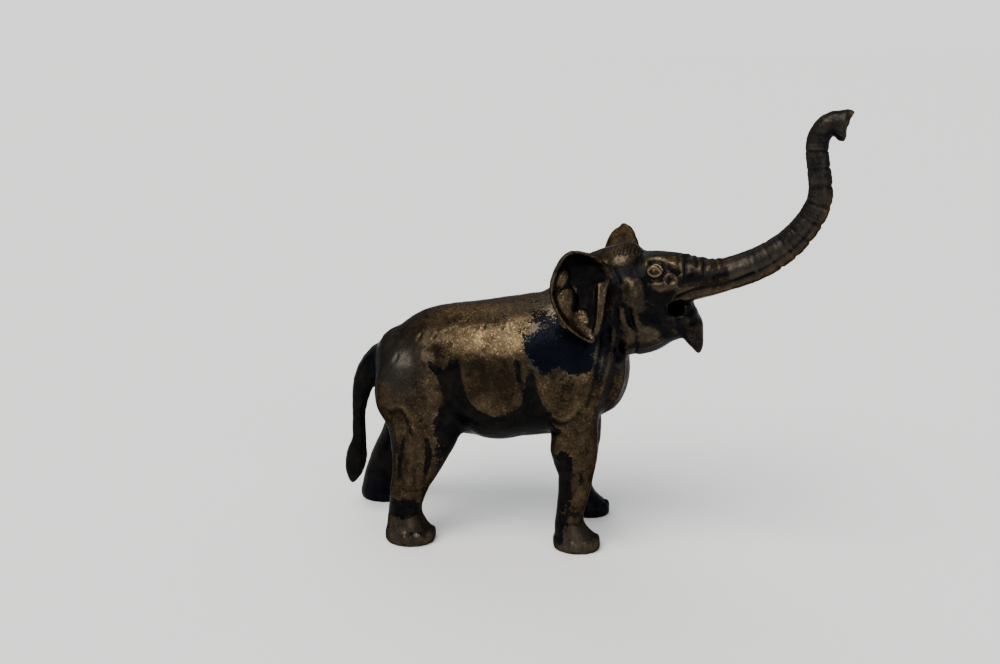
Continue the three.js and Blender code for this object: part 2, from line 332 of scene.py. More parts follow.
# %% Softening by region
head = straight_head(points)
inner = 13.5 + 0.62 * np.maximum(80 - points[:, 2], 0)  # the ears leave the head above and the neck below
ear_zone = (ramp(np.abs(head[:, 1]) - inner, 0, 1.5) * ramp(points[:, 2], 70, 71.5)
            * ramp(head[:, 0], 18, 16) * ramp(head[:, 0], -6, -4))
head_zone = ramp(head[:, 0], 9, 16) * ramp(points[:, 2], 62, 66)
trunk_zone = ramp(head[:, 0], 40, 46) * ramp(points[:, 2], 84, 88)
lip_zone = ramp(head[:, 0], 31, 34) * ramp(points[:, 2], 88, 84) * ramp(points[:, 2], 60, 64)
leg_zone = ramp(points[:, 2], 40, 28)
foot_zone = ramp(points[:, 2], 11, 7)
tail_zone = ramp(points[:, 0], -69, -71) * ramp(np.abs(points[:, 1]), 5, 4)

REACH = {"body": 2.6, "leg": 1.7, "head": 1.3, "trunk": 0.9, "foot": 0.75, "tail": 0.8, "lip": 0.85, "ear": 0.8}
reach = np.full(count, REACH["body"])
for zone, name in ((leg_zone, "leg"), (head_zone, "head"), (trunk_zone, "trunk"), (foot_zone, "foot"),
                   (tail_zone, "tail"), (lip_zone, "lip"), (ear_zone, "ear")):
    reach += zone * (REACH[name] - reach)
reach = spread(reach[:, None], 1.0)[:, 0]

once = spread(points, reach)
points = 2 * once - spread(once, reach)
points[:, 2] = np.maximum(points[:, 2], 0)
print("softened; longest pass", round(float(reach.max()), 2), "mm")

# %% [markdown]
# ## Working the wax
# The modeller's tools leave two kinds of mark: ridges pushed up and furrows pressed in, each a soft-edged stroke
# along a short line. A stroke here is a line of a few points with a width and a height, and the skin moves along
# its own normal by a bell curve of the distance to that line. Most lines are drawn in side view (x forward, z up)
# and touch only one side of the figure, as a tool would. A texture could fake these, but the outline and the way
# light slides over them would be wrong.

# %% Strokes
def normals_of(p):
    mesh.vertices.foreach_set("co", p.astype(np.float32).ravel())
    mesh.update()
    n = np.empty(count * 3, np.float32)
    mesh.vertex_normals.foreach_get("vector", n)
    return n.reshape(-1, 3).astype(float)


def distance_to(p, line):
    """Distance of each point to a line through the given points, in as many dimensions as they have."""
    line = np.asarray(line, float)
    best = np.full(len(p), 1e9)
    for a, b in zip(line[:-1], line[1:]):
        along = b - a
        t = np.clip((p - a) @ along / (along @ along + 1e-12), 0, 1)
        best = np.minimum(best, np.linalg.norm(p - a - t[:, None] * along, axis=1))
    return best


normals = normals_of(points)
head, head_normals = straight_head(points), normals @ np.array(HEAD_TURN.inverted())[:3, :3].T
lift = np.zeros(count)
RIGHT, LEFT = -1, 1
HEAD_SIDE = 15.0  # how far out the sides of the head reach


def facing(side, on_head, middle, outer=HEAD_SIDE):
    """1 where the skin looks to that side, beyond the given distance from the middle plane."""
    p, n = (head, head_normals) if on_head else (points, normals)
    short = ramp(np.abs(p[:, 1]), outer, outer - 1.5) if on_head else 1.0  # head strokes stop at the ears
    return ramp(side * n[:, 1], -0.05, 0.45) * ramp(side * p[:, 1], middle, middle + 1.0) * short


def stroke(line, width, height, side=RIGHT, on_head=False, middle=3.0, outer=HEAD_SIDE):
    line = rounded(line)
    flat = (head if on_head else points)[:, [0, 2]]
    low, high = line.min(0) - 3 * width, line.max(0) + 3 * width
    near = np.flatnonzero(((flat > low) & (flat < high)).all(1))
    bell = np.exp(-(distance_to(flat[near], line) / width) ** 2)
    lift[near] += height * bell * facing(side, on_head, middle, outer)[near]


def both(line, width, height, far=1.0, **kw):
    stroke(line, width, height, RIGHT, **kw)
    stroke(line, width, height * far, LEFT, **kw)


print("tools ready")

# %% Skin folds of the body and legs
BODY_STROKES = [  # width, height, line (x, z)
    (2.2, -0.55, [(-46, 66), (-43.5, 60), (-42, 53), (-42, 45), (-42.5, 38)]),  # furrow before the haunch
    (2.6, 0.35, [(-49, 62), (-46.5, 55), (-46, 47), (-47.5, 40)]),  # edge of the haunch
    (1.4, -0.35, [(-37.5, 64), (-36.5, 57), (-34.5, 50)]),
    (6.0, 0.45, [(-26, 64), (-24, 54), (-22, 50)]),  # fullness of the belly
    (1.5, -0.40, [(-31, 47.5), (-24, 44.7), (-17, 48)]),
    (1.3, -0.45, [(-17, 65), (-15.5, 59), (-14.5, 52)]),  # furrows behind the elbow
    (1.0, 0.30, [(-15.2, 63), (-14.2, 57)]),
    (1.5, -0.50, [(-12.5, 62), (-11.6, 55), (-10.2, 49)]),
    (3.0, 0.40, [(-3, 62), (-6, 56), (-6, 50)]),  # shoulder blade
    (1.1, -0.45, [(-6.4, 44.8), (-3.5, 44.2), (0, 46), (2.5, 48.5)]),  # crease of the elbow
    (1.1, 0.35, [(-5.5, 46.3), (-2.5, 46), (1, 48)]),
    (1.3, -0.40, [(-6.3, 41), (-3.6, 42), (-1.6, 41)]),
    (1.5, 0.35, [(-62, 46), (-57, 48.5), (-52.8, 45), (-51.5, 40)]),  # fold over the thigh
    (1.2, -0.40, [(-61.5, 44), (-57, 46.2), (-54.2, 43), (-53.2, 39)]),
    (1.2, -0.35, [(-61.2, 41.5), (-60.5, 36.5), (-58.8, 32)]),
    (1.1, -0.35, [(-55.6, 37), (-56.9, 30), (-57.2, 24)]),
    (1.1, -0.35, [(-47.7, 37), (-46.8, 32), (-47.8, 27), (-48.6, 23)]),
    (1.0, 0.25, [(-52.4, 34), (-53.2, 27), (-53.8, 21)]),
    (0.9, -0.25, [(-51.5, 24), (-51.2, 18), (-53, 13)]),
    (1.2, -0.35, [(1.2, 27.5), (0.2, 24), (-0.2, 20)]),
    (0.9, -0.30, [(3.8, 28), (4.1, 24.5)]),
    (1.0, 0.30, [(3.4, 22.5), (2.9, 19.5)]),
    (0.9, -0.25, [(0.2, 17.5), (2.0, 15.5)]),
    (1.8, 0.35, [(-6.2, 35), (-2.5, 33.5), (2, 34.5)]),  # knee
    (1.2, -0.30, [(-5.2, 30.5), (-1.5, 29.5)]),
]
for width, height, line in BODY_STROKES:
    both(line, width, height, far=0.8)

for line in ([(-61, 12.7), (-56, 13.2), (-51, 12.5)], [(-61, 10.6), (-56, 10.9), (-50.5, 10.4)],
             [(-60.5, 15), (-56.5, 15.4), (-52, 15.2)]):
    stroke(line, 0.8, -0.18)  # ankle wrinkles, hind
    stroke([(x - 18.5, z) for x, z in line], 0.8, -0.18, LEFT)
for line in ([(-5, 12), (0, 12.6), (5, 12.2)], [(-5, 10.3), (0, 10.4), (5, 10)]):
    both(line, 0.8, -0.14)  # ankle wrinkles, fore
print("folds: deepest", round(float(lift.min()), 2), "mm")

# %% [markdown]
# The neck and chest hang in upright folds, and the throat has two loops of loose skin under the cheek.

# %% Neck, chest and throat
for k, x in enumerate((8.5, 11.2, 14.0, 16.6, 19.0)):
    sway = 0.8 * math.sin(1.7 * k)
    both([(x + 1.5, 74), (x + sway, 66), (x - 1.0, 58), (x - 3.0, 51)], 0.9, 0.60 if k % 2 else -0.50, middle=1.0)
HEAD_STROKES = [
    (1.1, 0.75, [(21.6, 81), (22.3, 77.8), (24.3, 76.2), (28.6, 74.9)]),  # front throat loop
    (1.0, -0.80, [(20.0, 82), (20.3, 78.5), (21.8, 75.6)]),
    (1.1, 0.70, [(17.3, 82.5), (17.6, 79), (19.2, 76.4), (22.4, 74.8)]),  # rear throat loop
    (0.9, -0.60, [(16.0, 82), (15.8, 78), (16.6, 74.6)]),
    (1.6, 0.45, [(18, 72.5), (23, 72.2), (28, 73)]),  # plate of the jaw
    (0.7, 0.45, [(18.5, 69.2), (23.8, 69.6), (27.7, 71.2), (30.5, 73)]),  # light edge under it
    (1.3, -0.35, [(26.5, 78.5), (29.5, 77.5), (31.5, 75)]),
    (2.3, -0.60, [(25.6, 90), (25.8, 86.3), (28.5, 83.6), (32.3, 84.6)]),  # hollow of the cheek
    (0.6, 0.30, [(25.4, 85.6), (28, 83.5), (31.2, 83.9), (33.6, 86.3)]),
    (1.5, 0.45, [(27.4, 90.8), (30.5, 90.0), (33.5, 90.3)]),  # pad under the eye
    (1.1, 0.34, [(23.6, 98.2), (26.5, 98.6), (29.5, 97.7), (33, 96.6)]),  # brow
    (0.6, -0.65, [(25.0, 97.4), (27.5, 97.9), (30, 96.9), (32.6, 95.4), (34.3, 94.5)]),
    (1.3, -0.45, [(22.6, 95.6), (23.6, 93.2), (25.3, 91.6)]),  # behind and under the eye
    (1.6, 0.40, [(33.2, 97.8), (36.5, 97), (39.5, 96.2)]),
    (0.8, 0.50, [(31.5, 83.0), (37.2, 85.8), (40.4, 87.3), (45, 88.5), (50, 90.2)]), # upper lip's roll
    (0.8, -0.65, [(34.2, 86.0), (36.3, 87.6), (39.7, 89.3), (43.3, 90.2), (47, 91), (52, 92.4), (57, 95.2)]),
    (2.0, 0.30, [(35.8, 89.2), (38.7, 91.6), (42.2, 91.6), (46, 92)]),  # muscle above the lip
    (1.2, -0.50, [(11.6, 96.0), (14.4, 94.2), (16.2, 91)]),  # behind the cheek, by the ear
    (1.4, 0.35, [(12.5, 98.5), (16.5, 97.2), (20.5, 98.6)]),
    (1.4, -0.35, [(20.8, 100.4), (21.8, 97.2), (20.6, 94.2)]),  # temple
]
for width, height, line in HEAD_STROKES:
    both(line, width, height, on_head=True, middle=-0.5)

for k in range(9):  # chiselled hair of the crown
    x = 12.2 + 1.05 * k
    both([(x, 101.6), (x + 0.25, 99.2 + 0.4 * math.sin(2.1 * k))], 0.36, 0.26, on_head=True, middle=-4.0, outer=10.0)
    both([(x + 0.52, 101.4), (x + 0.75, 99.4)], 0.34, -0.24, on_head=True, middle=-4.0, outer=10.0)
print("head strokes done")

# %% [markdown]
# The rosette by the eye is a small punched flower: a low ring with a hollow middle and five lobes. The eye is an
# almond ball inside two lids. Both are drawn with strokes that close on themselves.

# %% Eyes and rosettes
EYE, EYE_HALF = (27.2, 95.1), (2.25, 1.6)
ROSETTE, ROSETTE_RADIUS = (32.1, 92.3), 1.75


def ring(centre, half, slope=0.0, steps=20):
    turn = [2 * math.pi * k / steps for k in range(steps + 1)]
    return [(centre[0] + half[0] * math.cos(t), centre[1] + half[1] * math.sin(t) + slope * half[0] * math.cos(t))
            for t in turn]


def almond(centre, half, slope=0.0):
    """A ring drawn to a point at both ends."""
    return [(x, z - (z - centre[1]) * 0.35 * ((x - centre[0]) / half[0]) ** 2) for x, z in ring(centre, half, slope)]


both(almond(EYE, (3.0, 2.2), -0.05), 0.5, -0.42, on_head=True)  # socket
both(almond(EYE, EYE_HALF, -0.05), 0.33, 0.52, on_head=True)  # lids
both(almond(EYE, (1.6, 0.95)), 0.30, -0.30, on_head=True)
both([EYE, (EYE[0] + 0.25, EYE[1])], 0.9, 0.36, on_head=True)  # eyeball
both([(23.9, 92.2), (26.5, 91.3), (29.4, 92.0)], 0.45, -0.28, on_head=True)  # bag under the lid
both(ring(ROSETTE, (ROSETTE_RADIUS, ROSETTE_RADIUS)), 0.5, 0.34, on_head=True)
both([ROSETTE, (ROSETTE[0] + 0.1, ROSETTE[1])], 0.55, -0.25, on_head=True)
for k in range(5):
    t = math.radians(72 * k + 15)
    lobe = (ROSETTE[0] + ROSETTE_RADIUS * math.cos(t), ROSETTE[1] + ROSETTE_RADIUS * math.sin(t))
    both([lobe, (lobe[0] + 0.05, lobe[1])], 0.45, 0.28, on_head=True)
print("eyes and rosettes done")

# %% [markdown]
# The trunk's skin is ringed. Near the head the rings are a row of soft knuckles along the top, and past the bend
# they are notches along the outer edge. The trunk is a bent path, so a ring's place is the distance along it.

# %% Rings of the trunk
TRUNK = [(32, 91), (38, 91.7), (44, 92.6), (50, 94.3), (58, 97.8), (64, 101.9), (68.6, 106.2), (72.6, 111.8),
         (75.2, 118), (75.3, 123), (74.3, 129), (73.6, 134.4), (74.5, 138.9)]


def along_path(p, path):
    """For each point, how far along the path it lies, and its offset to the path's right in the side plane."""
    path = rounded(path)
    best, place, offset, run = np.full(len(p), 1e9), np.zeros(len(p)), np.zeros(len(p)), 0.0
    for a, b in zip(path[:-1], path[1:]):
        step = b - a
        size = math.hypot(*step)
        t = np.clip((p - a) @ step / size ** 2, 0, 1)
        gap = p - a - t[:, None] * step
        near = np.linalg.norm(gap, axis=1)
        closer = near < best
        best = np.where(closer, near, best)
        place = np.where(closer, run + t * size, place)
        offset = np.where(closer, (gap[:, 0] * step[1] - gap[:, 1] * step[0]) / size, offset)
        run += size
    return place, offset


place, offset = along_path(head[:, [0, 2]], TRUNK)
on_trunk = ramp(head[:, 0], 31, 34) * ramp(points[:, 2], 86.5, 89) * (np.abs(head[:, 1]) < 9)
KNUCKLE, NOTCH, WRINKLE = 2.9, 5.3, 1.55  # spacing of the three kinds of ring
top_side, under_side = ramp(-offset, 0.5, 4.5), ramp(offset, 1.0, 3.6)
waver = 0.5 * np.sin(place * 0.9 + head[:, 1] * 0.5)
knuckles = np.sin(2 * math.pi * (place + waver) / KNUCKLE) * ramp(place, 0, 2) * ramp(place, 20, 14) * top_side
saw = np.abs(((place + 0.3 * waver) / NOTCH) % 1.0 - 0.12)
notches = -np.exp(-(saw * NOTCH / 0.55) ** 2) * ramp(place, 24, 32) * under_side
notches -= 0.4 * np.exp(-(saw * NOTCH / 0.5) ** 2) * ramp(place, 22, 30) * (1 - under_side)
wrinkles = np.sin(2 * math.pi * (place + waver) / WRINKLE) * ramp(place, 17, 22) * ramp(place, 78, 70)
lift += on_trunk * (0.17 * knuckles + 0.34 * notches + 0.03 * wrinkles)
flange = np.exp(-((offset - 3.4) / 0.8) ** 2) * ramp(place, 16, 22) * ramp(place, 62, 50)
groove = np.exp(-((offset - 2.0) / 0.7) ** 2) * ramp(place, 16, 22) * ramp(place, 56, 44)
lift += on_trunk * (0.22 * flange - 0.28 * groove)
step_edge = ramp(place, 18.0, 19.0)  # the ground coat ends here in a slight step
lift += on_trunk * (0.12 * step_edge + 0.22 * ramp(place, 45, 60) * ramp(np.abs(head[:, 1]), 9, 8))
print("trunk rings done")

# %% [markdown]
# Inside the near ear a fold of gristle runs down behind the front edge, there is a shallow pocket low down with
# beads of bronze in it, and the whole rim is rolled. The far ear is a plainer copy.

# %% Ears


def ear_stroke(line, width, height):
    """A stroke in three dimensions, on the near ear and mirrored on the far one."""
    for path in both_ears(rounded(line)):
        near = np.flatnonzero(((head > path.min(0) - 3 * width) & (head < path.max(0) + 3 * width)).all(1))
        lift[near] += height * np.exp(-(distance_to(head[near], path) / width) ** 2)


ear_stroke(EAR_TOP, 1.2, 0.30)
ear_stroke(EAR_BACK, 0.8, 0.22)
ear_stroke(EAR_FRONT, 1.0, 0.25)
ear_stroke([(10.5, -15, 90), (11.0, -16.9, 85.5), (11.2, -18.6, 80.5), (10.9, -20, 76.5)], 0.9, 0.55)  # gristle
ear_stroke([(8.8, -15.4, 88.8), (9.3, -16.9, 85.5), (9.6, -18.3, 81.6), (9.8, -19.2, 78)], 0.9, -0.55)
ear_stroke([(1.8, -18.8, 93.1), (0.4, -19.8, 90.1), (-0.5, -24.2, 89.0), (-0.8, -28.4, 89.4)], 0.8, -0.40)
ear_stroke([(3.8, -16.8, 89), (3.6, -17.8, 86.4), (3.3, -18.8, 84)], 0.9, 0.35)
ear_stroke([(4.4, -18.8, 83.4), (6.2, -18.6, 83.6), (7.6, -18.2, 83)], 0.45, 0.30)
BEADS = [(4.5, -19.6, 81.7), (5.6, -18.9, 81.9), (6.6, -18.8, 81.5), (7.4, -19.1, 80.4), (6.2, -19.4, 80.0),
         (8, -19.7, 78.6)]
for bead in BEADS:
    ear_stroke([bead, (bead[0] + 0.1, bead[1], bead[2])], 0.5, 0.55)
print("ears done")

# %% [markdown]
# Last come the accidents: a slight unevenness everywhere, dents with raised lips, and gas pits of the casting.
# Blender's noise functions give the unevenness, and their fixed pattern makes it the same on every run.

# %% Unevenness, dents and pits
DENTS = [(-59.2, 62.5, 1.1), (-51.5, 69.6, 1.0), (-51.7, 55.5, 0.8), (-56.0, 46.8, 1.0), (-43.5, 40.5, 0.8),
         (-49.8, 43.3, 0.6), (-29.5, 74.3, 0.7), (-23.0, 74.9, 0.5), (-18.5, 54.2, 0.9), (-46.2, 70.5, 0.6),
         (-27.5, 68.4, 1.3), (-2.7, 59.9, 0.9), (-41.5, 78.5, 0.6), (-35.5, 76.0, 0.5)]
for x, z, size in DENTS:
    stroke([(x - 0.7 * size, z - 0.5 * size), (x, z), (x + 0.3 * size, z + 0.9 * size)], size * 0.6, -0.17)
    stroke([(x - 1.3 * size, z), (x - 0.5 * size, z + 1.4 * size)], size * 0.6, 0.10)
UNEVEN, GRAIN = 0.22, 0.055  # mm
calm = 1 - 0.5 * head_zone - 0.6 * ear_zone
broad = np.array([noise.fractal(Vector(p) / 9.0, 1.0, 2.0, 3) for p in points])
fine = np.array([noise.fractal(Vector(p) / 1.7, 1.0, 2.0, 2) for p in points])
lift += UNEVEN * broad * calm * ramp(points[:, 2], 2, 6) + GRAIN * fine
PIT_SPACING, PIT_RADIUS, PIT_DEPTH = 3.1, 0.42, 0.20
PITLESS = 0.55  # share of the cells that hold no pit
pit = np.zeros(count)
for i, p in enumerate(points):
    gaps, cells = noise.voronoi(Vector(p) / PIT_SPACING)
    if noise.cell(cells[0] * 7.31) > PITLESS:
        pit[i] = math.exp(-(gaps[0] * PIT_SPACING / PIT_RADIUS) ** 2)
lift -= PIT_DEPTH * pit * (1 - 0.6 * ear_zone)
TAIL_FILL = 0.45  # the tail lost this much in softening
lift += TAIL_FILL * ramp(points[:, 0], -68.5, -71) * ramp(np.abs(points[:, 1]), 5, 4)
sole = ramp(points[:, 2], 0.3, 1.5)  # soles stay flat
points = points + normals * (lift * sole)[:, None]
points[:, 2] = np.maximum(points[:, 2], 0)
print("lift from", round(float(lift.min()), 2), "to", round(float(lift.max()), 2), "mm")

# %% [markdown]
# ## Where the patina is worn, and where light and shade are painted
# Rubbing takes the black off whatever stands proud and leaves it in the hollows. How far each vertex stands
# above its softened surroundings is measured on the mesh and kept as an attribute, and four more are painted
# as patches: how far the black is worn (the brown shows), which also carries painted shade and a painted sky
# reflection; how bright the bare bronze is polished, which also carries painted highlights and painted shade;
# how blue-black the black skin and how grey the bare bronze are (the thick blue-black), which also carries the
# painted shadow behind the ear and the grey of the painted sky reflection; and soft (where one layer fades into
# the other instead of flaking off).
# Attributes travel with the mesh, while a painted image would need an unwrapped skin.

# %% Proud and hollow
normals = normals_of(points)
head, head_normals = straight_head(points), normals @ np.array(HEAD_TURN.inverted())[:3, :3].T
proud_fine = ((points - spread(points, 0.8)) * normals).sum(1)
proud_broad = ((points - spread(points, 2.2)) * normals).sum(1)
proud = np.clip(proud_fine / 0.20 + (1 - ear_zone) * proud_broad / 1.0, -1, 1)
proud *= 1 - np.where(proud < 0, 0.8, 0.4) * ear_zone
xs, ys, zs = points.T  # short names for the painting cells
head_xs, head_ys, head_flat = head[:, 0], head[:, 1], head[:, [0, 2]]
faces_y, faces_z = normals[:, 1], normals[:, 2]
print("proud from", round(float(proud.min()), 2), "to", round(float(proud.max()), 2))


# %% Patches
def depth_inside(flat, outline):
    """How far each point lies inside a closed outline, negative outside."""
    loop = rounded(list(outline) + [outline[0]], 1)
    inside = np.zeros(len(flat), bool)
    for (ax, az), (bx, bz) in zip(loop[:-1], loop[1:]):
        crosses = (az > flat[:, 1]) != (bz > flat[:, 1])
        inside ^= crosses & (flat[:, 0] < (bx - ax) * (flat[:, 1] - az) / (bz - az + 1e-12) + ax)
    return np.where(inside, 1, -1) * distance_to(flat, loop)


GROUND = {"wear_and_painted_light": 0.80, "polish_and_painted_light": 0.20, "blue_grey_and_painted_light": 0.0, "soft": 0.0}
paint = {name: np.full(count, value) for name, value in GROUND.items()}


def patch(layer, value, outline, edge=1.2, sides=(RIGHT,), on_head=False, middle=-99.0):
    flat = (head if on_head else points)[:, [0, 2]]
    cover = ramp(depth_inside(flat, outline), -edge, edge)
    cover *= np.max([facing(side, on_head, middle) for side in sides], axis=0)
    paint[layer] += cover * (value - paint[layer])


def blob(layer, value, centre, radii, sides=(RIGHT,), on_head=False):
    flat = (head if on_head else points)[:, [0, 2]]
    r = np.linalg.norm((flat - np.array(centre)) / np.array(radii), axis=1)
    cover = np.exp(-r ** 2) * np.max([facing(side, on_head, -99.0) for side in sides], axis=0)
    paint[layer] += cover * (value - paint[layer])


def everywhere(layer, value, cover):
    paint[layer] += cover * (value - paint[layer])


SIDES = (RIGHT, LEFT)
print("brushes ready")

# %% [markdown]
# Paint goes on from broad to narrow, and a later stroke covers an earlier one: first painted shade on whatever
# looks down, then the belly, the shadow behind the ear and the chest, then the polished flank with a band of
# painted shade under its overhang and a painted sky reflection along the back, and last the legs and feet, whose
# inner sides are painted in shade.

# %% Body and legs
UNDER_BELLY = [(-41, 30), (-41.3, 44), (-41.8, 50), (-43.2, 57), (-47, 61), (-48, 64.5), (-42.2, 60.3),
               (-40.4, 65), (-36.6, 64.6), (-35.0, 57), (-33.4, 51.5), (-28.5, 47.6), (-23, 45.6), (-16.6, 48.6),
               (-14.8, 55), (-14.4, 61.5), (-11.3, 62), (-10.8, 54), (-7.5, 49), (-6.2, 43), (-6, 30)]
EAR_SHADOW = [(-6.5, 82), (-11.7, 77.6), (-14.8, 73), (-16.2, 70), (-13.8, 66.6), (-12, 62.6), (-8.5, 61.4),
              (-4.5, 64.2), (-1.2, 61.8), (3.2, 60.6), (5.8, 63.2), (9, 60), (20, 62), (22, 80), (8, 90)]
CHEST = [(7.5, 66), (6.8, 56), (6.4, 48), (8, 40), (26, 48), (26, 76), (10, 78)]
# Painted shade: faces that look down and the bottom of the belly are darkened, partly for the patina that rubbing
# misses there and partly as painted shade under the body.
everywhere("wear_and_painted_light", 0.30, ramp(-faces_z, 0.35, 0.85))  # everything that looks down
everywhere("wear_and_painted_light", 0.10, ramp(zs, 50, 44) * ramp(xs, -48, -43) * ramp(xs, -4, -9))
patch("wear_and_painted_light", 0.0, UNDER_BELLY, 0.6, SIDES)
patch("wear_and_painted_light", 0.0, [(-18.4, 66.5), (-16.9, 66), (-15.9, 60), (-16.6, 57.5), (-17.9, 61)], 0.4, SIDES)
patch("wear_and_painted_light", 0.02, EAR_SHADOW, 2.2, SIDES)
patch("blue_grey_and_painted_light", 1.0, EAR_SHADOW, 1.5, SIDES)
patch("wear_and_painted_light", 0.42, CHEST, 1.5, SIDES)
patch("soft", 0.8, CHEST, 2.5, SIDES)
breast = ramp(xs, 6, 9) * ramp(zs, 76, 70) * ramp(zs, 38, 42)
everywhere("wear_and_painted_light", 0.42, breast)
everywhere("soft", 0.8, breast)
blob("polish_and_painted_light", 0.50, (-24.0, 73.5), (8.0, 5.4), SIDES)
blob("polish_and_painted_light", 0.47, (-37.0, 73.5), (7.5, 5.0), SIDES)
blob("polish_and_painted_light", 0.75, (-30.2, 71.8), (1.4, 3.0), SIDES)
# Painted shade: a dull band under the overhang of the flank.
blob("polish_and_painted_light", 0.02, (-25.0, 60.5), (8.0, 3.6), SIDES)
blob("polish_and_painted_light", 0.70, (-17.5, 70.5), (2.6, 5.0), SIDES)
blob("polish_and_painted_light", 0.45, (-24.5, 50.0), (7.0, 2.6), SIDES)
blob("polish_and_painted_light", 0.55, (-8.2, 57.0), (1.8, 5.5), SIDES)
blob("polish_and_painted_light", 0.34, (-3.0, 50.0), (7.0, 9.0), SIDES)
blob("polish_and_painted_light", 0.32, (0.5, 38.0), (5.0, 9.0), SIDES)
blob("polish_and_painted_light", 0.75, (2.0, 61.0), (4.2, 1.8), SIDES)
blob("polish_and_painted_light", 0.50, (-47.5, 56.0), (3.0, 6.0), SIDES)
blob("polish_and_painted_light", 0.42, (-52.0, 43.0), (8.0, 7.0), SIDES)
blob("polish_and_painted_light", 0.12, (-60.0, 63.0), (7.0, 9.0), SIDES)  # grey of the rump
everywhere("wear_and_painted_light", 0.62, ramp(zs, 74, 80) * ramp(xs, -40, -30))
# Painted reflection: the top of the back is painted greyer, as the pale sky mirrored in it.
everywhere("blue_grey_and_painted_light", 0.75, ramp(zs, 77, 81) * ramp(xs, -50, -40) * ramp(xs, 4, 0))
blob("wear_and_painted_light", 0.42, (-14.0, 76.5), (4.0, 4.5), SIDES)
blob("wear_and_painted_light", 0.22, (-7.5, 77.0), (5.0, 3.6), SIDES)
blob("blue_grey_and_painted_light", 1.0, (-59.0, 62.0), (9.0, 9.0), SIDES)
# Painted reflection: the top of the back is painted brighter, as the sky mirrored in it.
everywhere("polish_and_painted_light", 0.62, ramp(zs, 75, 79) * ramp(xs, -55, -45) * ramp(xs, 0, -6))
# Painted shade: the band under the flank's overhang is kept dull.
blob("polish_and_painted_light", 0.10, (-24.0, 58.5), (8.0, 5.0), SIDES)

LEG_MARKS = [  # worn, outline
    (0.05, [(-2.2, 36), (1.2, 35), (1.6, 30), (0.6, 26), (1.8, 20), (0.2, 14), (0.5, 5), (-3, 2), (-9, 2),
            (-9, 33), (-5, 34)]),
    (0.0, [(-6.8, 43.6), (-4, 42.8), (-2.4, 43.4), (-3.4, 41), (-4.4, 39), (-6.4, 41)]),
    (0.05, [(3.6, 28.5), (4.6, 27), (4.4, 24), (3.5, 25.5)]),
    (0.0, [(-0.5, 14.8), (4.5, 14.6), (5.2, 12.6), (0.8, 12.4)]),
    (0.05, [(-61.8, 42), (-60.2, 38), (-58.6, 33), (-59.2, 30), (-62.5, 32)]),
    (0.05, [(-56.4, 37.5), (-55, 36), (-56, 29), (-57, 22), (-58.4, 25), (-57.6, 31)]),
    (0.05, [(-48.4, 37.5), (-46.8, 37), (-45.8, 32), (-46.5, 27), (-48.2, 22), (-48.8, 27), (-47.9, 32)]),
    (0.08, [(-62, 16), (-50, 16), (-50, 9), (-62, 9)]),
]
for value, outline in LEG_MARKS:
    patch("wear_and_painted_light", value, outline, 0.6, (RIGHT,), middle=2.0)
everywhere("wear_and_painted_light", -0.15, ramp(zs, 44, 36) * ramp(ys, -4, 4) * ramp(faces_y, 0.8, 0.2))  # painted shade: the far legs' inner sides are black
# Painted shade: the inner sides of the near legs, turned away from the light, are darkened.
everywhere("wear_and_painted_light", 0.06, ramp(zs, 40, 33) * ramp(faces_y, 0.0, 0.5) * ramp(ys, 0, -6))
foot_xs = np.where(xs < -30, xs + 60, xs)  # hind feet counted from the fore feet's place
everywhere("wear_and_painted_light", 0.60, foot_zone * ramp(faces_z, -0.1, 0.25) * ramp(ys, 0, -4) * ramp(foot_xs, -4, 1))
everywhere("wear_and_painted_light", 0.0, foot_zone * ramp(proud, -0.1, -0.5))  # gaps between the nails
everywhere("polish_and_painted_light", 0.26, foot_zone)
everywhere("blue_grey_and_painted_light", 0.55, foot_zone)
everywhere("soft", 0.6, foot_zone)
# the rear of the rump by the tail root, dark partly as patina in the groove and partly as painted shade, and the
# whole tail
everywhere("wear_and_painted_light", 0.22, ramp(xs, -64, -67) * ramp(zs, 70, 64) * ramp(zs, 44, 50))
everywhere("wear_and_painted_light", -0.15, ramp(xs, -67.5, -70) * ramp(np.abs(ys), 6, 4.5))
print("body painted")

# %% [markdown]
# The head starts nearly black and its raised features are rubbed through one by one. The trunk is painted by the
# distance along it, like its rings, and the ears by their rims.

